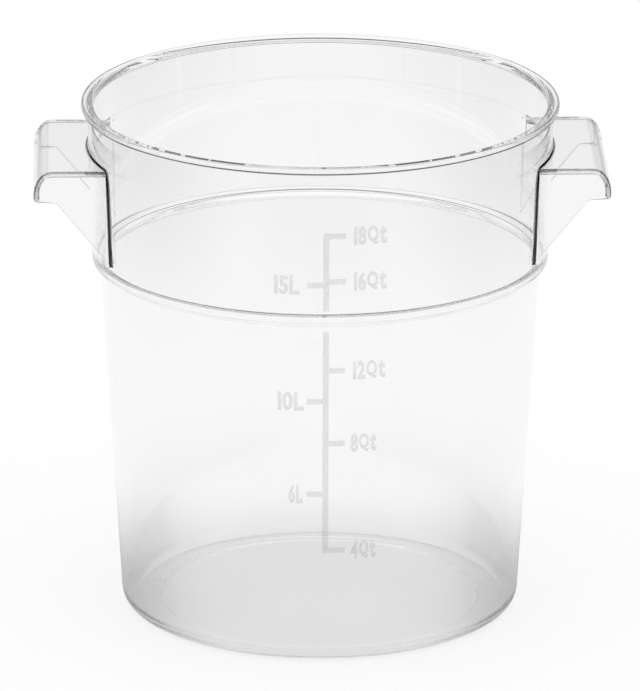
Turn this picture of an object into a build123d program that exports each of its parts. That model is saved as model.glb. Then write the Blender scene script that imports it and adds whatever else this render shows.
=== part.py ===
from build123d import *
from math import sqrt
import os

# A round clear food container for proofing dough: one tapered vessel with a stacking shoulder,
# a wide collar and a lid rim, two hollow grip handles, and a measuring scale on the front.
# Millimetres, +Z up. The origin is the centre of the base, on the surface it stands on.
# The handles point along X and the scale faces -Y.

# Vessel, outside, from the rim down
height = 343.0
rim_radius = 156.0
rim_overhang = 3.8
rim_depth = 4.8
collar_height = 100.5
collar_taper = 3.1
shoulder_step = 5.3
shoulder_slope = 3.5
body_taper = 13.8
foot_ring_width = 25.4
foot_recess = 1.0

# Vessel, wall thicknesses
body_wall = 2.8
collar_wall = 3.3
rim_wall = 4.3
ledge_wall = 4.9
ledge_drop = 1.3
floor_wall = 3.1

# Vessel, corners of the section
base_round = 11.0
floor_chamfer = 5.2
rim_chamfer = 1.2
rim_lead_chamfer = 2.2
ledge_chamfer = 1.2

# Handles
handle_reach = 31.1
handle_width = 120.0
handle_wall = 2.9
shelf_drop = 30.1
roll_reach = 12.0
roll_drop = 16.5
side_chamfer = 1.6
lip_depth = 21.2
lip_chamfer = 1.5
toe_length = 15.0
web_foot_rise = 10.8
cut_overrun = 5.0

# Measuring scale on the front: a spine with quart ticks on its right and litre ticks on its left
mark_rise = 0.3
spine_width = 3.8
tick_height = 3.7
quart_tick_length = 10.6
litre_tick_length = 10.3
shoulder_gap_above = 8.5
shoulder_gap_below = 3.9
quart_height_shares = {18: 0.866, 16: 0.776, 12: 0.594, 8: 0.4475, 4: 0.231}
litre_height_shares = {15: 0.769, 10: 0.532, 5: 0.345}

# Places worked out from the sizes above
collar_top_radius = rim_radius - rim_overhang
collar_foot_radius = collar_top_radius - collar_taper
body_top_radius = collar_foot_radius - shoulder_step
base_radius = body_top_radius - body_taper
foot_inner_radius = base_radius - foot_ring_width
rim_underside = height - rim_depth
shoulder_top = rim_underside - collar_height
shoulder_height = shoulder_top - shoulder_slope
ledge_height = shoulder_top + ledge_wall
ledge_foot = ledge_height - ledge_drop
floor_height = foot_recess + floor_wall
shelf_height = height - shelf_drop
lip_bottom = shelf_height - lip_depth
web_foot_height = shoulder_top + web_foot_rise
half_span = rim_radius + handle_reach
half_width = handle_width / 2

os.makedirs("parts", exist_ok=True)


def body_radius(z):
    """Outer radius of the tapered body at height z."""
    return base_radius + body_taper * z / shoulder_height


def collar_radius(z):
    """Outer radius of the tapered collar at height z."""
    return collar_foot_radius + collar_taper * (z - shoulder_top) / collar_height


def outer_radius(z):
    """Outer radius of whichever wall stands at height z."""
    return collar_radius(z) if z > shoulder_top else body_radius(z)


# Corners of the vessel's section that are softened, as (radius, height)
base_corner = (base_radius, 0)
rim_lower_corner = (rim_radius, rim_underside)
rim_upper_corner = (rim_radius, height)
rim_lead_corner = (collar_top_radius - rim_wall, height)
ledge_corner = (collar_foot_radius - collar_wall, ledge_height)
floor_corner = (body_radius(floor_height) - body_wall, floor_height)

# The section runs from the middle of the underside out and up to the rim, then down the inside
# to the middle of the floor
with BuildPart() as vessel:
    with BuildSketch(Plane.XZ) as vessel_section:
        with BuildLine():
            Polyline(
                (0, foot_recess),
                (foot_inner_radius, foot_recess),
                (foot_inner_radius, 0),
                base_corner,
                (body_top_radius, shoulder_height),
                (collar_foot_radius, shoulder_top),
                (collar_top_radius, rim_underside),
                rim_lower_corner,
                rim_upper_corner,
                rim_lead_corner,
                ledge_corner,
                (body_top_radius - body_wall, ledge_foot),
                floor_corner,
                (0, floor_height),
                close=True,
            )
        make_face()
        for corner, soften, size in (
            (base_corner, fillet, base_round),
            (rim_lower_corner, chamfer, rim_chamfer),
            (rim_upper_corner, chamfer, rim_chamfer),
            (rim_lead_corner, chamfer, rim_lead_chamfer),
            (ledge_corner, chamfer, ledge_chamfer),
            (floor_corner, chamfer, floor_chamfer),
        ):
            soften(vessel_section.vertices().sort_by_distance(corner)[0], size)
    revolve(axis=Axis.Z)
vessel.part.label = "vessel"
export_step(vessel.part, "parts/vessel.step")

# The room that the collar takes, which each handle ends on
with BuildPart() as collar_room:
    with BuildSketch(Plane.XZ):
        with BuildLine():
            Polyline(
                (0, shoulder_top),
                (collar_foot_radius, shoulder_top),
                (collar_top_radius, rim_underside),
                (0, rim_underside),
                close=True,
            )
        make_face()
    revolve(axis=Axis.Z)


def grip_outline(reach, shelf, roll_out, roll_down, bottom):
    """A grip's top from the vessel's axis out to its rolled end, and down to its bottom."""
    with BuildLine() as outline:
        Line((0, shelf), (reach - roll_out, shelf))
        EllipticalCenterArc((reach - roll_out, shelf - roll_down), roll_out, roll_down)
        Line((reach, shelf - roll_down), (reach, bottom))
    return outline.line


# The finger pocket: the inside of a handle, open below
pocket_reach = half_span - handle_wall
pocket_top = shelf_height - handle_wall
pocket_bottom = web_foot_height - cut_overrun
with BuildPart() as finger_pocket:
    with BuildSketch(Plane.XZ):
        with BuildLine():
            add(grip_outline(pocket_reach, pocket_top, roll_reach - handle_wall,
                             roll_drop - handle_wall, pocket_bottom))
            Polyline((pocket_reach, pocket_bottom), (0, pocket_bottom), (0, pocket_top))
        make_face()
    extrude(amount=half_width - handle_wall, both=True)

# The handles are hollow grips: a flat shelf that rolls over into a finger lip, and two side
# webs that run down the collar. Each one ends on the collar's own outer surface.
web_foot_reach = sqrt(collar_radius(web_foot_height) ** 2 - half_width ** 2)
with BuildPart() as right_handle:
    with BuildSketch(Plane.XZ) as grip_side:
        with BuildLine():
            add(grip_outline(half_span, shelf_height, roll_reach, roll_drop, lip_bottom))
            Polyline(
                (half_span, lip_bottom),
                (half_span - toe_length, lip_bottom),
                (web_foot_reach, web_foot_height),
                (0, web_foot_height),
                (0, shelf_height),
            )
        make_face()
        chamfer(grip_side.vertices().sort_by_distance((half_span, lip_bottom))[0], lip_chamfer)
    extrude(amount=half_width, both=True)
    end_middle = (lip_bottom + lip_chamfer + shelf_height - roll_drop) / 2
    side_edges = right_handle.faces().filter_by(Axis.Y).edges()
    rolled_edges = [
        edge
        for edge in side_edges
        if edge.center().Z > end_middle - side_chamfer and edge.center().X > handle_wall
    ]
    chamfer(rolled_edges, side_chamfer)
    add(finger_pocket.part, mode=Mode.SUBTRACT)
    add(collar_room.part, mode=Mode.SUBTRACT)
right_handle.part.label = "right_handle"
export_step(right_handle.part, "parts/right_handle.step")

with BuildPart() as left_handle:
    add(right_handle.part)
    mirror(about=Plane.YZ, mode=Mode.REPLACE)
left_handle.part.label = "left_handle"
export_step(left_handle.part, "parts/left_handle.step")


def wall_skin(low, high):
    """A thin skin on the wall's outside between two heights, as thick as the marks stand proud."""
    with BuildPart() as skin:
        with BuildSketch(Plane.XZ):
            with BuildLine():
                Polyline(
                    (outer_radius(low), low),
                    (outer_radius(low) + mark_rise, low),
                    (outer_radius(high) + mark_rise, high),
                    (outer_radius(high), high),
                    close=True,
                )
            make_face()
        revolve(axis=Axis.Z)
    return skin.part


# The scale's spine, in two lengths with the shoulder between them
spine_top = height * max(quart_height_shares.values()) + tick_height / 2
spine_bottom = height * min(quart_height_shares.values()) - tick_height / 2
with BuildPart() as scale_spine:
    add(wall_skin(shoulder_top + shoulder_gap_above, spine_top))
    add(wall_skin(spine_bottom, shoulder_height - shoulder_gap_below))
    with BuildSketch(Plane.XZ):
        with Locations((0, spine_bottom)):
            Rectangle(spine_width, spine_top - spine_bottom, align=(Align.CENTER, Align.MIN))
    extrude(amount=rim_radius, mode=Mode.INTERSECT)
scale_spine.part.label = "scale_spine"
export_step(scale_spine.part, "parts/scale_spine.step")

# The ticks, from the spine out to the right for quarts and to the left for litres
for label, height_shares, length, side in (
    ("quart_ticks", quart_height_shares, quart_tick_length, 1),
    ("litre_ticks", litre_height_shares, litre_tick_length, -1),
):
    with BuildPart() as ticks:
        for share in height_shares.values():
            add(wall_skin(height * share - tick_height / 2, height * share + tick_height / 2))
        with BuildSketch(Plane.XZ):
            for share in height_shares.values():
                with Locations((side * (spine_width + length) / 2, height * share)):
                    Rectangle(length, tick_height)
        extrude(amount=rim_radius, mode=Mode.INTERSECT)
    ticks.part.label = label
    export_step(ticks.part, f"parts/{label}.step")
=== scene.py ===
from math import cos, pi, radians, sin, sqrt, tan

import bmesh
import bpy
from mathutils import Matrix, Vector


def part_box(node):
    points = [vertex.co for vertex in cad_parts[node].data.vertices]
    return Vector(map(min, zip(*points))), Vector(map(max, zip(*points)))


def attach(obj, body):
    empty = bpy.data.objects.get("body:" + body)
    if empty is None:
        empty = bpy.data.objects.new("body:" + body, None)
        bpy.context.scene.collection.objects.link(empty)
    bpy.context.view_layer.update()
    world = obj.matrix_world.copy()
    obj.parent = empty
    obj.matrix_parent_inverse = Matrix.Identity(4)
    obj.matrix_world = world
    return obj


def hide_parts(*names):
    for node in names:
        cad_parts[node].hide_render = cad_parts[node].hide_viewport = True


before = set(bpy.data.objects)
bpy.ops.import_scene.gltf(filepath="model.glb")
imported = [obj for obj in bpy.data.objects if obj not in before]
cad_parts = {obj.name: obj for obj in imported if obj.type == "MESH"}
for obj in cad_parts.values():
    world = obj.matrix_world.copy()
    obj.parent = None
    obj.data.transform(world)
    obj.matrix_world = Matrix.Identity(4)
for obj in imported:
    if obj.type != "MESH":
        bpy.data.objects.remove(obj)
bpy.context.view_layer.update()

# A clear container for proofing dough, in metres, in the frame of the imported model: the handles
# point along X and the scale faces -Y.
MM = 0.001
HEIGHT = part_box("vessel")[1].z
RIM_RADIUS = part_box("vessel")[1].x

# Vessel, from the rim down
RIM_OVERHANG = 3.8 * MM
RIM_DEPTH = 4.8 * MM
COLLAR_HEIGHT = 100.5 * MM
COLLAR_TAPER = 3.1 * MM
SHOULDER_STEP = 5.3 * MM
SHOULDER_SLOPE = 3.5 * MM
BODY_TAPER = 13.8 * MM
FOOT_RING_WIDTH = 25.4 * MM
FOOT_RECESS = 1.0 * MM
BODY_WALL = 2.8 * MM
COLLAR_WALL = 3.3 * MM
RIM_WALL = 4.3 * MM
LEDGE_WALL = 4.9 * MM
LEDGE_DROP = 1.3 * MM
FLOOR_WALL = 3.1 * MM

COLLAR_TOP_RADIUS = RIM_RADIUS - RIM_OVERHANG
COLLAR_FOOT_RADIUS = COLLAR_TOP_RADIUS - COLLAR_TAPER
BODY_TOP_RADIUS = COLLAR_FOOT_RADIUS - SHOULDER_STEP
BASE_RADIUS = BODY_TOP_RADIUS - BODY_TAPER
FOOT_INNER_RADIUS = BASE_RADIUS - FOOT_RING_WIDTH
RIM_UNDERSIDE = HEIGHT - RIM_DEPTH
SHOULDER_TOP = RIM_UNDERSIDE - COLLAR_HEIGHT
SHOULDER_HEIGHT = SHOULDER_TOP - SHOULDER_SLOPE
LEDGE_HEIGHT = SHOULDER_TOP + LEDGE_WALL
FLOOR_HEIGHT = FOOT_RECESS + FLOOR_WALL

# Rounds on the vessel's section, from the foot ring up the outside and down the inside
FOOT_ROUND = 0.4 * MM
BASE_ROUND = 11.0 * MM
SHOULDER_ROOT_ROUND = 0.3 * MM
SHOULDER_EDGE_ROUND = 0.4 * MM
RIM_ROOT_ROUND = 0.8 * MM
RIM_LOWER_ROUND = 2.2 * MM
RIM_UPPER_ROUND = 1.9 * MM
RIM_LEAD_ROUND = 3.2 * MM
LEDGE_ROUND = 0.8 * MM
LEDGE_LIP_ROUND = 2.2 * MM
FLOOR_ROUND = 8.2 * MM

# Handles
HANDLE_WALL = 2.9 * MM
ROLL_REACH = 12.0 * MM
ROLL_DROP = 16.5 * MM
LIP_DEPTH = 21.2 * MM
TOE_LENGTH = 15.0 * MM
WEB_FOOT_RISE = 10.8 * MM

# Rounds on the handles, and how deep the strip that rounds their roots is sunk at its borders
SIDE_ROUND = 2.0 * MM
POCKET_ROUND = 1.5 * MM
LIP_ROUND = 3.2 * MM
EDGE_ROUND = 0.5 * MM
SHELF_ROOT_ROUND = 2.4 * MM
WEB_ROOT_ROUND = 5.5 * MM
ROOT_NARROWING = 14.0 * MM
ROOT_SINK = 0.03 * MM
ROOT_SINK_POWER = 6
HALF_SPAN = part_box("right_handle")[1].x
HALF_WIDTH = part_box("right_handle")[1].y
SHELF_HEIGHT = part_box("right_handle")[1].z
LIP_BOTTOM = SHELF_HEIGHT - LIP_DEPTH
WEB_FOOT_HEIGHT = SHOULDER_TOP + WEB_FOOT_RISE

# How finely round forms are divided
TURN_STEPS = 384
ROUND_STEPS = 8
ROLL_STEPS = 24
WEB_ROOT_STEPS = 24
SHELF_ROOT_STEPS = 40


def body_radius(z):
    """Outer radius of the tapered body at height z."""
    return BASE_RADIUS + BODY_TAPER * z / SHOULDER_HEIGHT


def collar_radius(z):
    """Outer radius of the tapered collar at height z."""
    return COLLAR_FOOT_RADIUS + COLLAR_TAPER * (z - SHOULDER_TOP) / COLLAR_HEIGHT


# The camera that the photograph was fitted with
IMAGE_HEIGHT_PIXELS = 691
FOCAL_PIXELS = 9500
CAMERA_DISTANCE = 6.24
CAMERA_ELEVATION = radians(18.1)
CAMERA_YAW = radians(-1.5)
CAMERA_ROLL = radians(0.1)
LOOK_AT_HEIGHT = 0.1745
VIEW_LIMIT = 100


def add_camera():
    data = bpy.data.cameras.new("photo_camera")
    data.lens = data.sensor_width * FOCAL_PIXELS / IMAGE_HEIGHT_PIXELS
    data.clip_end = VIEW_LIMIT
    camera = bpy.data.objects.new("photo_camera", data)
    bpy.context.scene.collection.objects.link(camera)
    back = Vector((
        sin(CAMERA_YAW) * cos(CAMERA_ELEVATION),
        -cos(CAMERA_YAW) * cos(CAMERA_ELEVATION),
        sin(CAMERA_ELEVATION),
    ))
    place = Matrix.Translation(Vector((0, 0, LOOK_AT_HEIGHT)) + back * CAMERA_DISTANCE)
    aim = (-back).to_track_quat("-Z", "Y").to_matrix().to_4x4()
    camera.matrix_world = place @ aim @ Matrix.Rotation(CAMERA_ROLL, 4, "Z")
    bpy.context.scene.camera = camera


add_camera()


class Term:
    """A shader value, so that the sums and products of values can be written as such."""

    def __init__(self, nodes, socket):
        self.nodes = nodes
        self.socket = socket

    def maths(self, operation, *values):
        node = self.nodes.tree.nodes.new("ShaderNodeMath")
        node.operation = operation
        for socket, value in zip(node.inputs, values):
            self.nodes.feed(socket, value)
        return Term(self.nodes, node.outputs[0])

    def __add__(self, other):
        return self.maths("ADD", self, other)

    def __sub__(self, other):
        return self.maths("SUBTRACT", self, other)

    def __rsub__(self, other):
        return self.maths("SUBTRACT", other, self)

    def __mul__(self, other):
        return self.maths("MULTIPLY", self, other)

    def __truediv__(self, other):
        return self.maths("DIVIDE", self, other)

    __radd__ = __add__
    __rmul__ = __mul__

    def larger(self, other):
        return self.maths("MAXIMUM", self, other)

    def smaller(self, other):
        return self.maths("MINIMUM", self, other)

    def size(self):
        return self.maths("ABSOLUTE", self)


class Nodes:
    """The node tree of one material or world, with short calls that add and link nodes."""

    def __init__(self, owner):
        owner.use_nodes = True
        self.tree = owner.node_tree
        self.tree.nodes.clear()

    def feed(self, socket, value):
        if isinstance(value, Term):
            value = value.socket
        if isinstance(value, bpy.types.NodeSocket):
            self.tree.links.new(value, socket)
        else:
            socket.default_value = value

    def add(self, kind, settings=None, **sockets):
        node = self.tree.nodes.new(kind)
        for name, value in (settings or {}).items():
            setattr(node, name, value)
        for name, value in sockets.items():
            self.feed(node.inputs[name.replace("_", " ")], value)
        return node

    def term(self, node, output):
        return Term(self, node.outputs[output])

    def fade(self, value, start, stop, low=0.0, high=1.0):
        """low before start, high after stop, and a smooth change between them."""
        node = self.add(
            "ShaderNodeMapRange", {"interpolation_type": "SMOOTHSTEP"}, Value=value,
            From_Min=start, From_Max=stop, To_Min=low, To_Max=high,
        )
        return self.term(node, "Result")

    def noise(self, place, scale, detail=2.0):
        """Soft noise from 0 to 1, with scale in bumps a metre."""
        node = self.add("ShaderNodeTexNoise", Vector=place, Scale=scale, Detail=detail)
        return self.term(node, 0)

    def root_of_squares(self, across, up):
        """The length of the step that goes so far across and so far up."""
        return across.maths("SQRT", across * across + up * up)

    def mix(self, share, low, high):
        """The first colour where the share is 0, and the second where it is 1."""
        node = self.add("ShaderNodeMix", {"data_type": "RGBA"})
        for name, value in (("Factor_Float", share), ("A_Color", low), ("B_Color", high)):
            self.feed(next(socket for socket in node.inputs if socket.identifier == name), value)
        return next(socket for socket in node.outputs if socket.identifier == "Result_Color")

    def grey(self, value):
        """A colour with the same value in red, green and blue."""
        return self.add("ShaderNodeCombineColor", Red=value, Green=value, Blue=value).outputs[0]

    def place(self):
        """The point's place on the object, in metres."""
        return self.add("ShaderNodeTexCoord").outputs["Object"]

    def parts(self, vector):
        """The X, Y and Z of a vector."""
        node = self.add("ShaderNodeSeparateXYZ", Vector=vector)
        return (self.term(node, axis) for axis in "XYZ")


def rounded(corners, steps=ROUND_STEPS):
    """A closed outline whose corners are rounded: each corner is ((across, up), round)."""
    points = []
    for place, (corner, size) in enumerate(corners):
        here = Vector(corner)
        if not size:
            points.append(tuple(here))
            continue
        before = (Vector(corners[place - 1][0]) - here).normalized()
        after = (Vector(corners[(place + 1) % len(corners)][0]) - here).normalized()
        half = before.angle(after) / 2
        centre = here + (before + after).normalized() * (size / sin(half))
        start = here + before * (size / tan(half)) - centre
        turn = pi - 2 * half
        if start.x * after.y - start.y * after.x < 0:
            turn = -turn
        for step in range(steps + 1):
            angle = turn * step / steps
            points.append((
                centre.x + start.x * cos(angle) - start.y * sin(angle),
                centre.y + start.x * sin(angle) + start.y * cos(angle),
            ))
    return points


def settled(piece):
    """The mesh of a piece or a text with its modifiers and curves worked out."""
    return bpy.data.meshes.new_from_object(
        piece.evaluated_get(bpy.context.evaluated_depsgraph_get())
    )


def add_piece(name, bm):
    """Turns a bmesh into an object of its own."""
    bmesh.ops.recalc_face_normals(bm, faces=bm.faces)
    mesh = bpy.data.meshes.new(name)
    bm.to_mesh(mesh)
    bm.free()
    piece = bpy.data.objects.new(name, mesh)
    bpy.context.scene.collection.objects.link(piece)
    return piece


def lathe(name, outline):
    """A closed solid of revolution round Z: the outline starts and ends on the axis."""
    bm = bmesh.new()
    rings = []
    for radius, z in outline:
        count = TURN_STEPS if radius else 1
        rings.append([
            bm.verts.new((radius * cos(2 * pi * k / count), radius * sin(2 * pi * k / count), z))
            for k in range(count)
        ])
    for low, high in zip(rings, rings[1:]):
        for k in range(TURN_STEPS):
            after = (k + 1) % TURN_STEPS
            if len(low) == 1:
                bm.faces.new((low[0], high[after], high[k]))
            elif len(high) == 1:
                bm.faces.new((low[k], low[after], high[0]))
            else:
                bm.faces.new((low[k], low[after], high[after], high[k]))
    return add_piece(name, bm)


def rolled_block(name, path, rest, half_width):
    """A block as wide as two half widths, rolled round its sides. The path is its top and outer
    end, each place as (x, z, outward direction, roll), and rest are the corners below, as (x, z)."""
    bm = bmesh.new()
    rows = []
    for x, z, out, roll in path:
        centre = Vector((x, z)) - out * roll
        edge = []
        for step in range(ROUND_STEPS + 1):
            angle = pi / 2 * step / ROUND_STEPS
            point = centre + out * (roll * sin(angle))
            edge.append((point.x, roll - half_width - roll * cos(angle), point.y))
        row = edge + [(x, -y, z) for x, y, z in reversed(edge)]
        rows.append([bm.verts.new(point) for point in row])
    feet = [[bm.verts.new((x, y, z)) for x, z in rest] for y in (-half_width, half_width)]
    for low, high in zip(rows, rows[1:]):
        for k in range(len(low) - 1):
            bm.faces.new((low[k], low[k + 1], high[k + 1], high[k]))
    for side, foot in zip((0, -1), feet):
        bm.faces.new([row[side] for row in rows] + foot)
    bm.faces.new(rows[-1] + [feet[1][0], feet[0][0]])
    bm.faces.new(rows[0] + [feet[1][-1], feet[0][-1]])
    for front, back, front_after, back_after in zip(feet[0], feet[1], feet[0][1:], feet[1][1:]):
        bm.faces.new((front, back, back_after, front_after))
    return add_piece(name, bm)


def combine(piece, others, operation):
    """Adds or cuts away other solids, which are used up."""
    for other in others:
        change = piece.modifiers.new(operation.lower(), "BOOLEAN")
        change.operation = operation
        change.solver = "EXACT"
        change.object = other
    done = settled(piece)
    piece.modifiers.clear()
    piece.data = done
    for other in others:
        bpy.data.objects.remove(other)
    return piece


SECTION = rounded([
    ((0, FOOT_RECESS), 0),
    ((FOOT_INNER_RADIUS, FOOT_RECESS), FOOT_ROUND),
    ((FOOT_INNER_RADIUS, 0), FOOT_ROUND),
    ((BASE_RADIUS, 0), BASE_ROUND),
    ((BODY_TOP_RADIUS, SHOULDER_HEIGHT), SHOULDER_ROOT_ROUND),
    ((COLLAR_FOOT_RADIUS, SHOULDER_TOP), SHOULDER_EDGE_ROUND),
    ((COLLAR_TOP_RADIUS, RIM_UNDERSIDE), RIM_ROOT_ROUND),
    ((RIM_RADIUS, RIM_UNDERSIDE), RIM_LOWER_ROUND),
    ((RIM_RADIUS, HEIGHT), RIM_UPPER_ROUND),
    ((COLLAR_TOP_RADIUS - RIM_WALL, HEIGHT), RIM_LEAD_ROUND),
    ((COLLAR_FOOT_RADIUS - COLLAR_WALL, LEDGE_HEIGHT), LEDGE_ROUND),
    ((BODY_TOP_RADIUS - BODY_WALL, LEDGE_HEIGHT - LEDGE_DROP), LEDGE_LIP_ROUND),
    ((body_radius(FLOOR_HEIGHT) - BODY_WALL, FLOOR_HEIGHT), FLOOR_ROUND),
    ((0, FLOOR_HEIGHT), 0),
])

# Each grip is drawn in from well inside the collar, and then cut back into its wall
ROOT_REACH = COLLAR_FOOT_RADIUS / 2
WEB_FOOT_REACH = sqrt(collar_radius(WEB_FOOT_HEIGHT) ** 2 - HALF_WIDTH ** 2)


def grip_path(start, reach, shelf, roll_out, roll_down, side):
    """A grip's top from inside the collar out and over its rolled end."""
    path = [(start, shelf, Vector((0, 1)), side)]
    for step in range(ROLL_STEPS + 1):
        across, up = sin(pi / 2 * step / ROLL_STEPS), cos(pi / 2 * step / ROLL_STEPS)
        out = Vector((across / roll_out, up / roll_down)).normalized()
        path.append((reach - roll_out * (1 - across), shelf - roll_down * (1 - up), out, side))
    return path


def lip_path():
    """A grip's lip from its outer face round to its bottom, and on down the webs' sloping edges."""
    path = []
    for step in range(ROUND_STEPS + 1):
        across, down = cos(pi / 2 * step / ROUND_STEPS), sin(pi / 2 * step / ROUND_STEPS)
        path.append((
            HALF_SPAN - LIP_ROUND * (1 - across), LIP_BOTTOM + LIP_ROUND * (1 - down),
            Vector((across, -down)), SIDE_ROUND,
        ))
    toe = Vector((HALF_SPAN - TOE_LENGTH, LIP_BOTTOM))
    foot = Vector((WEB_FOOT_REACH, WEB_FOOT_HEIGHT))
    slope = (toe - foot).normalized()
    out = Vector((slope.y, -slope.x))
    middle = (out + Vector((0, -1))).normalized()
    return path + [(*toe, middle, EDGE_ROUND), (*foot, out, EDGE_ROUND)]


def root_path():
    """Where a grip's outside meets the collar, from the foot of one web over the shelf to the foot
    of the other. Each place is (y, z, the grip's outward direction, the size of the round)."""
    places = []
    turn_y = HALF_WIDTH - SIDE_ROUND
    turn_z = SHELF_HEIGHT - SIDE_ROUND
    for k in range(WEB_ROOT_STEPS):
        z = WEB_FOOT_HEIGHT + (turn_z - WEB_FOOT_HEIGHT) * k / WEB_ROOT_STEPS
        narrowing = max(0, 1 - (turn_z - z) / ROOT_NARROWING) ** 2
        size = WEB_ROOT_ROUND + (SHELF_ROOT_ROUND - WEB_ROOT_ROUND) * narrowing
        places.append((-HALF_WIDTH, z, Vector((0, -1, 0)), size))
    for k in range(ROUND_STEPS):
        angle = pi - pi / 2 * k / ROUND_STEPS
        out = Vector((0, cos(angle), sin(angle)))
        places.append((
            -turn_y + SIDE_ROUND * out.y, turn_z + SIDE_ROUND * out.z, out, SHELF_ROOT_ROUND,
        ))
    for k in range(SHELF_ROOT_STEPS // 2 + 1):
        y = -turn_y + 2 * turn_y * k / SHELF_ROOT_STEPS
        places.append((y, SHELF_HEIGHT, Vector((0, 0, 1)), SHELF_ROOT_ROUND))
    return places + [
        (-y, z, Vector((0, -out.y, out.z)), size) for y, z, out, size in reversed(places[:-1])
    ]


def root_round(name):
    """The hollow round that eases a grip into the collar, as a closed strip along its root. Its
    borders lie a hair below both surfaces, and its inner corner in the thick of the plastic."""
    bm = bmesh.new()
    rings = []
    for y, z, out, size in root_path():
        radius = collar_radius(z)
        here = Vector((sqrt(radius ** 2 - y ** 2), y, z))
        wall = Vector((here.x, here.y, -radius * COLLAR_TAPER / COLLAR_HEIGHT)).normalized()
        along = out.cross(wall).normalized()
        outward = along.cross(out)
        if outward.x < 0:
            outward = -outward
        up_wall = along.cross(wall)
        if up_wall.dot(out) < 0:
            up_wall = -up_wall
        half = outward.angle(up_wall) / 2
        centre = here + (outward + up_wall).normalized() * (size / sin(half))
        start = here + outward * (size / tan(half)) - centre
        stop = here + up_wall * (size / tan(half)) - centre
        ring = []
        turn = start.angle(stop)
        for step in range(ROUND_STEPS + 1):
            share = step / ROUND_STEPS
            spoke = (start * sin(turn * (1 - share)) + stop * sin(turn * share)) / sin(turn)
            sunk = ROOT_SINK * abs(2 * share - 1) ** ROOT_SINK_POWER
            ring.append(centre + spoke * (1 + sunk / size))
        ring.append(here - (out + wall) * (HANDLE_WALL / 3))
        rings.append([bm.verts.new(point) for point in ring])
    for low, high in zip(rings, rings[1:]):
        for k in range(len(low)):
            after = (k + 1) % len(low)
            bm.faces.new((low[k], low[after], high[after], high[k]))
    bm.faces.new(rings[0])
    bm.faces.new(rings[-1])
    return add_piece(name, bm)


def add_grip(name):
    """One hollow handle with the round at its root, open below, ending inside the collar's wall."""
    outside = grip_path(ROOT_REACH, HALF_SPAN, SHELF_HEIGHT, ROLL_REACH, ROLL_DROP, SIDE_ROUND)
    grip = rolled_block(name, outside + lip_path(), [(ROOT_REACH, WEB_FOOT_HEIGHT)], HALF_WIDTH)
    start = ROOT_REACH - HANDLE_WALL
    reach = HALF_SPAN - HANDLE_WALL
    inside = grip_path(
        start, reach, SHELF_HEIGHT - HANDLE_WALL, ROLL_REACH - HANDLE_WALL, ROLL_DROP - HANDLE_WALL,
        POCKET_ROUND,
    )
    inside.append((reach, SHOULDER_TOP, Vector((1, 0)), POCKET_ROUND))
    pocket = rolled_block("pocket", inside, [(start, SHOULDER_TOP)], HALF_WIDTH - HANDLE_WALL)
    inset = COLLAR_WALL / 2
    room = lathe("collar_room", [
        (0, SHOULDER_TOP - inset),
        (collar_radius(SHOULDER_TOP) - inset, SHOULDER_TOP - inset),
        (collar_radius(RIM_UNDERSIDE) - inset, RIM_UNDERSIDE),
        (0, RIM_UNDERSIDE),
    ])
    combine(grip, [pocket, room], "DIFFERENCE")
    return combine(grip, [root_round("root")], "UNION")


def mirrored(piece, name):
    """The same piece on the other side of the vessel."""
    bm = bmesh.new()
    bm.from_mesh(piece.data)
    bmesh.ops.scale(bm, vec=(-1, 1, 1), verts=bm.verts)
    return add_piece(name, bm)


# Light that enters a thick corner is trapped there, so thin lines look dark. That shade is painted
# into
# the base colour as black lines: round the front of the rim's lower edge and of the ledge inside the
# shoulder, along the front roots of the handles, and along the handles' side edges. A painted line
# is full up to LINE_CORE of its size and gone at LINE_EDGE.
LINE_CORE = 0.4
LINE_EDGE = 1.1
ROOT_LINE = 0.9 * MM
ROOT_LINE_SPREAD = 0.8, 1.5
ROOT_CORNER = 3.0 * MM
ROOT_PAINTED_SHADE = 1.0
RIM_LINE = 0.85 * MM
RIM_LINE_RISE = 1.3 * MM
RIM_PAINTED_SHADE = 0.95
LEDGE_LINE = 1.2 * MM
LEDGE_PAINTED_SHADE = 1.0
# The painted shade of the ring lines is full on the front and fades out towards the back.
PAINTED_RING_SHADE_FRONT = -120 * MM, 10 * MM
GRIP_LINE = 0.8 * MM
GRIP_LINE_EDGE = 1.3
GRIP_PAINTED_SHADE = 0.85
PAINTED_SHADE_COLOUR = 0.0, 0.0, 0.0, 1

# Finish of the clear plastic, with the scales of its noises in bumps a metre
PLASTIC_IOR = 1.58
TINTS = (0.984, 0.987, 0.99, 1), (0.99, 0.992, 0.993, 1)
TINT_SCALE = 12
WORN_HEIGHT = 0.1 * MM, 0.5 * MM
WORN_SCALE = 800
WORN_ROUGHNESS = 0.3
RUB_SCALE = 90
RUB_DETAIL = 4.0
RUB_SHARE = 0.62, 0.8
RUB_PATCH_SCALE = 9
RUB_PATCH_SHARE = 0.5, 0.7
RUB_ROUGHNESS = 0.05
UNEVEN_HEIGHT = 6 * MM, 12 * MM
UNEVEN_SCALE = 55
UNEVEN_STRENGTH = 0.12
UNEVEN_DEPTH = 0.1 * MM

# Finish of the frosted scale
FROST_COLOUR = 0.8, 0.8, 0.82, 1
FROST_GRAIN_SCALE = 2600
FROST_GRAIN_DETAIL = 3.0
FROST_CLOUD_SCALE = 60
FROST_COVER = 0.1
FROST_VARIES = 0.05
FROST_ROUGHNESS = 0.7
FROST_GLEAM = 0.3


def painted_shade_line(nodes, away, size, darkness, edge=LINE_EDGE):
    """How dark a painted shade line is at some distance from its middle."""
    return nodes.fade(away, LINE_CORE * size, edge * size, darkness, 0.0)


def painted_ring_shade(nodes, radius, height, at_radius, at_height, size, darkness):
    """How dark the painted shade line is that runs round the vessel at a radius and height of its
    section.
    """
    away = nodes.root_of_squares(radius - at_radius, height - at_height)
    return painted_shade_line(nodes, away, size, darkness)


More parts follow.
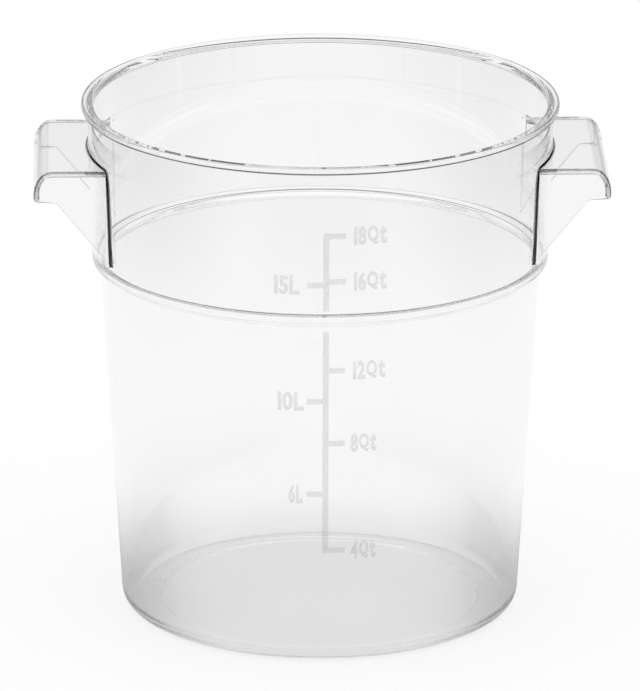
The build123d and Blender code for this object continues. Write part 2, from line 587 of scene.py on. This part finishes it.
def painted_root_shade(nodes, radius, y, height):
    """How dark the painted shade line is where the front of a handle joins the collar: over the
    shelf, round the corner and down the web."""
    off = radius - COLLAR_FOOT_RADIUS - (height - SHOULDER_TOP) * (COLLAR_TAPER / COLLAR_HEIGHT)
    aside = ROOT_CORNER - HALF_WIDTH - y
    above = height - (SHELF_HEIGHT - ROOT_CORNER)
    corner = nodes.root_of_squares(aside.larger(0), above.larger(0))
    proud = corner + aside.larger(above).smaller(0) - ROOT_CORNER
    core, edge = (share * ROOT_LINE for share in ROOT_LINE_SPREAD)
    return (
        painted_shade_line(nodes, (off - ROOT_LINE).size(), ROOT_LINE, ROOT_PAINTED_SHADE)
        * nodes.fade((proud - ROOT_LINE).size(), core, edge, 1.0, 0.0)
    )


def painted_grip_shade(nodes, x, y, height):
    """How dark the painted shade line is along a handle's side edges, over the shelf and down its
    rolled end.
    """
    out = (x.size() - (HALF_SPAN - ROLL_REACH)).larger(0) / ROLL_REACH
    up = (height - (SHELF_HEIGHT - ROLL_DROP)).larger(0) / ROLL_DROP
    deep = (1 - nodes.root_of_squares(out, up)) * ROLL_DROP
    away = nodes.root_of_squares(y.size() - (HALF_WIDTH - GRIP_LINE), deep - GRIP_LINE)
    return painted_shade_line(nodes, away, GRIP_LINE, GRIP_PAINTED_SHADE, GRIP_LINE_EDGE)


def clear_plastic_with_painted_lines():
    """Clear polycarbonate: a faint cool tint that changes a little over the walls, painted shade as
    dark lines in the thick corners, fine rub marks from nesting and washing, a matt worn foot ring
    and a floor that is slightly uneven."""
    material = bpy.data.materials.new("clear_polycarbonate_painted_lines")
    nodes = Nodes(material)
    place = nodes.place()
    x, y, height = nodes.parts(place)
    radius = nodes.root_of_squares(x, y)
    # Painted shade: black lines in the base colour round the rim's lower edge and the ledge, fading
    # out towards the back, and along the handles' front roots and side edges.
    rim_painted_shade = painted_ring_shade(
        nodes, radius, height, RIM_RADIUS, RIM_UNDERSIDE + RIM_LINE_RISE, RIM_LINE, RIM_PAINTED_SHADE,
    )
    ledge_radius = COLLAR_FOOT_RADIUS - COLLAR_WALL
    ledge_painted_shade = painted_ring_shade(
        nodes, radius, height, ledge_radius, LEDGE_HEIGHT, LEDGE_LINE, LEDGE_PAINTED_SHADE,
    )
    rings = rim_painted_shade.larger(ledge_painted_shade) * nodes.fade(0 - y, *PAINTED_RING_SHADE_FRONT)
    handle_painted_shades = painted_root_shade(nodes, radius, y, height).larger(painted_grip_shade(nodes, x, y, height))
    tint = nodes.mix(nodes.noise(place, TINT_SCALE), *TINTS)
    # The painted shade lines turn the tint black in the base colour.
    colour = nodes.mix(rings.larger(handle_painted_shades), tint, PAINTED_SHADE_COLOUR)
    worn = nodes.fade(height, *WORN_HEIGHT, 1.0, 0.0) * nodes.noise(place, WORN_SCALE)
    rubbed = nodes.fade(nodes.noise(place, RUB_SCALE, RUB_DETAIL), *RUB_SHARE)
    rubbed = rubbed * nodes.fade(nodes.noise(place, RUB_PATCH_SCALE), *RUB_PATCH_SHARE)
    uneven = nodes.fade(height, *UNEVEN_HEIGHT, 1.0, 0.0) * nodes.noise(place, UNEVEN_SCALE)
    bump = nodes.add(
        "ShaderNodeBump", Height=uneven, Strength=UNEVEN_STRENGTH, Distance=UNEVEN_DEPTH,
    )
    shader = nodes.add(
        "ShaderNodeBsdfPrincipled", Base_Color=colour, IOR=PLASTIC_IOR, Transmission_Weight=1.0,
        Roughness=WORN_ROUGHNESS * worn + RUB_ROUGHNESS * rubbed, Normal=bump.outputs[0],
    )
    nodes.add("ShaderNodeOutputMaterial", Surface=shader.outputs[0])
    return material


def frosted_marks():
    """The scale is moulded slightly rough, so it looks like a thin grey frost on the clear wall."""
    material = bpy.data.materials.new("frosted_scale")
    nodes = Nodes(material)
    place = nodes.place()
    grain = nodes.noise(place, FROST_GRAIN_SCALE, FROST_GRAIN_DETAIL)
    cloud = nodes.noise(place, FROST_CLOUD_SCALE)
    shader = nodes.add(
        "ShaderNodeBsdfPrincipled", Base_Color=FROST_COLOUR,
        Roughness=FROST_ROUGHNESS - FROST_GLEAM * grain,
        Alpha=FROST_COVER + FROST_VARIES * grain + FROST_VARIES * cloud,
    )
    nodes.add("ShaderNodeOutputMaterial", Surface=shader.outputs[0])
    return material


# Faces that meet at more than this angle keep a sharp edge between them, and large faces lead the
# shading of the small ones beside them.
SHARP_ANGLE = radians(32)
LARGE_FACES_LEAD = 90

clear = clear_plastic_with_painted_lines()
moulding = lathe("clear_moulding", SECTION)
right_grip = add_grip("right_grip")
left_grip = mirrored(right_grip, "left_grip")
combine(moulding, [right_grip, left_grip], "UNION")
moulding.data.materials.clear()
moulding.data.materials.append(clear)
moulding.data.shade_smooth()
moulding.data.set_sharp_from_angle(angle=SHARP_ANGLE)
even = moulding.modifiers.new("even_shading", "WEIGHTED_NORMAL")
even.keep_sharp = True
even.weight = LARGE_FACES_LEAD
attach(moulding, "root")
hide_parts("vessel", "right_handle", "left_handle")

# The numbers stand beside their ticks. For each: its words, its height as a share of the whole,
# which side of the spine it stands on, its gap from the spine's middle and its width.
MARK_RISE = 0.3 * MM
MARK_SINK = 0.05 * MM
NUMERAL_HEIGHT = 12.5 * MM
LETTER_BOLDNESS = 0.035
LETTER_FINENESS = 6
LETTER_GAP = 0.75 * MM
NUMERALS = (
    ("18Qt", 0.866, 1, 17.9 * MM, 21.4 * MM),
    ("16Qt", 0.776, 1, 17.9 * MM, 21.4 * MM),
    ("12Qt", 0.594, 1, 17.7 * MM, 21.2 * MM),
    ("8Qt", 0.4475, 1, 16.3 * MM, 16.9 * MM),
    ("4Qt", 0.231, 1, 16.6 * MM, 16.4 * MM),
    ("15L", 0.769, -1, 17.2 * MM, 16.3 * MM),
    ("10L", 0.532, -1, 14.1 * MM, 16.9 * MM),
    ("6L", 0.345, -1, 14.7 * MM, 9.0 * MM),
)


def wall_radius(z):
    """Outer radius of whichever wall stands at height z."""
    return collar_radius(z) if z > SHOULDER_TOP else body_radius(z)


def bold_letter(letter):
    """One flat bold letter whose box starts at the origin and is one high."""
    text = bpy.data.objects.new(letter, bpy.data.curves.new(letter, "FONT"))
    text.data.body = letter
    text.data.offset = LETTER_BOLDNESS
    text.data.resolution_u = LETTER_FINENESS
    bpy.context.scene.collection.objects.link(text)
    mesh = settled(text)
    bpy.data.objects.remove(text)
    low = Vector(min(v.co[k] for v in mesh.vertices) for k in range(3))
    tall = max(v.co.y for v in mesh.vertices) - low.y
    for v in mesh.vertices:
        v.co = (v.co - low) / tall
    return mesh


def add_numeral(words, share, side, gap, width):
    """A number wrapped on the wall, with its tall narrow letters standing slightly proud."""
    letters = [bold_letter(letter) for letter in words]
    spans = [max(v.co.x for v in letter.vertices) for letter in letters]
    narrow = (width - LETTER_GAP * (len(words) - 1)) / sum(spans)
    left = gap if side > 0 else -gap - width
    bm = bmesh.new()
    for letter, span in zip(letters, spans):
        done = len(bm.verts)
        bm.from_mesh(letter)
        bm.verts.ensure_lookup_table()
        for v in bm.verts[done:]:
            v.co = Vector((left + v.co.x * narrow, v.co.y * NUMERAL_HEIGHT, 0))
        left += span * narrow + LETTER_GAP
    drawn = bmesh.ops.extrude_face_region(bm, geom=bm.faces[:], use_keep_orig=True)
    raised = {v for v in drawn["geom"] if isinstance(v, bmesh.types.BMVert)}
    for v in bm.verts:
        z = share * HEIGHT + v.co.y - NUMERAL_HEIGHT / 2
        radius = wall_radius(z)
        turn = v.co.x / radius
        radius += MARK_RISE if v in raised else -MARK_SINK
        v.co = (radius * sin(turn), -radius * cos(turn), z)
    piece = add_piece("numeral_" + words, bm)
    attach(piece, "root")
    return piece


frosted = frosted_marks()
for name in ("scale_spine", "quart_ticks", "litre_ticks"):
    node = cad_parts[name]
    node.data.materials.clear()
    node.data.materials.append(frosted)
for numeral in NUMERALS:
    add_numeral(*numeral).data.materials.append(frosted)


# The studio: a white sweep under the container that runs from front to back, in a white tent that
# is open behind. Behind, the room is dark, with light overhead, a patch of light low in the middle
# and two soft strip lights, left and right.
ROOM_DIM = 0.02
TENT_LIGHT = 1.0
TENT_EDGE = -0.3, 0.0
MIDDLE_LIGHT = 0.72
MIDDLE_TOP_LIGHT = 0.98
MIDDLE_BOTTOM = sin(radians(3.5)), sin(radians(7.5))
MIDDLE_TOP = sin(radians(18)), sin(radians(23))
MIDDLE_EDGE = tan(radians(5)), tan(radians(18))
OVERHEAD = 1.05
OVERHEAD_BOTTOM = sin(radians(20)), sin(radians(37))
STRIP_LIGHT = 0.6
STRIP_INNER = tan(radians(5)), tan(radians(14))
STRIP_OUTER = tan(radians(18)), tan(radians(30))


def strip_light(nodes, x, y):
    """How much of the strip lights lies in the direction of (x, y)."""
    aside = x.size() / y
    return nodes.fade(aside, *STRIP_INNER) * nodes.fade(aside, *STRIP_OUTER, 1.0, 0.0)


# The floor lies a hair under the container, as a real one touches it in a few points only. It is
# white where the camera looks. Light that the container bends sees painted light and shade on it: a
# painted shadow beside and under the container, painted shade towards the front, brightness falling
# away into the dark room at the sweep's edges and far off, and painted pools of strip light.
FLOOR_GAP = 0.1 * MM
FLOOR_REACH = 12
SEEN_COLOUR = 0.25
SEEN_GLOW = 0.77
BENT_COLOUR = 0.06
BENT_GLOW = 0.9
SWEEP_EDGE = 0.52, 1.38
SWEEP_END = 1.2, 5.0
SIDE_SHADE = 0.4
SIDE_REACH = 0.115, 0.32
SIDE_ASIDE = 0.06, 0.15
FOOT_SHADE = 0.22
FOOT_REACH = 0.09, 0.235
FRONT_SHADE = 0.33
FRONT_REACH = 0.56, 1.15


def add_floor():
    bm = bmesh.new()
    bmesh.ops.create_grid(bm, x_segments=1, y_segments=1, size=FLOOR_REACH)
    bmesh.ops.translate(bm, vec=(0, 0, -FLOOR_GAP), verts=bm.verts)
    floor = add_piece("studio_floor", bm)
    material = bpy.data.materials.new("pale_floor")
    nodes = Nodes(material)
    path = nodes.add("ShaderNodeLightPath")
    direct = nodes.term(path, "Is Camera Ray")
    bent = nodes.term(path, "Is Transmission Ray").larger(nodes.term(path, "Is Glossy Ray"))
    x, y, _ = nodes.parts(nodes.place())
    reach = nodes.root_of_squares(x, y)
    # Painted shadow beside and under the container, painted shade towards the front and painted
    # pools of strip light, seen only by bent light.
    side = nodes.fade(reach, *SIDE_REACH, SIDE_SHADE, 0.0) * nodes.fade(x.size(), *SIDE_ASIDE)
    foot = nodes.fade(reach, *FOOT_REACH, FOOT_SHADE, 0.0)
    front = nodes.fade(0 - y, *FRONT_REACH, 0.0, FRONT_SHADE)
    sweep = nodes.fade(x.size(), *SWEEP_EDGE, 1.0, 0.0) * nodes.fade(reach, *SWEEP_END, 1.0, 0.0)
    strips = strip_light(nodes, x, y) * nodes.fade(reach, *SWEEP_EDGE) * STRIP_LIGHT
    light = (sweep * (1 - side) * (1 - foot) * (1 - front)).larger(strips)
    colour = direct * SEEN_COLOUR + (1 - direct) * (ROOM_DIM + light * (BENT_COLOUR - ROOM_DIM))
    glow = direct * SEEN_GLOW + bent * light * BENT_GLOW
    shader = nodes.add(
        "ShaderNodeBsdfPrincipled", Roughness=0.9, Specular_IOR_Level=0.0, Emission_Strength=1.0,
        Base_Color=nodes.grey(colour), Emission_Color=nodes.grey(glow),
    )
    nodes.add("ShaderNodeOutputMaterial", Surface=shader.outputs[0])
    floor.data.materials.append(material)


def add_world():
    world = bpy.data.worlds.new("studio")
    bpy.context.scene.world = world
    nodes = Nodes(world)
    x, y, z = nodes.parts(nodes.add("ShaderNodeTexCoord").outputs["Generated"])
    middle = nodes.fade(z, *MIDDLE_TOP, MIDDLE_LIGHT, MIDDLE_TOP_LIGHT)
    middle = middle * nodes.fade(z, *MIDDLE_BOTTOM)
    middle = middle * nodes.fade(x.size() / y.size(), *MIDDLE_EDGE, 1.0, 0.0)
    above = nodes.fade(z, *OVERHEAD_BOTTOM, ROOM_DIM, OVERHEAD)
    tent = nodes.fade(0 - y, *TENT_EDGE) * TENT_LIGHT
    strips = strip_light(nodes, x, y) * STRIP_LIGHT
    light = middle.larger(strips).larger(above).larger(tent)
    back = nodes.add("ShaderNodeBackground", Color=nodes.grey(light), Strength=1.0)
    nodes.add("ShaderNodeOutputWorld", Surface=back.outputs[0])


add_floor()
add_world()

# Light crosses many walls and is reflected many times inside them before it comes out.
LIGHT_BOUNCES = 96
scene = bpy.context.scene
scene.view_settings.view_transform = "Standard"
scene.cycles.max_bounces = LIGHT_BOUNCES
scene.cycles.glossy_bounces = LIGHT_BOUNCES
scene.cycles.transmission_bounces = LIGHT_BOUNCES
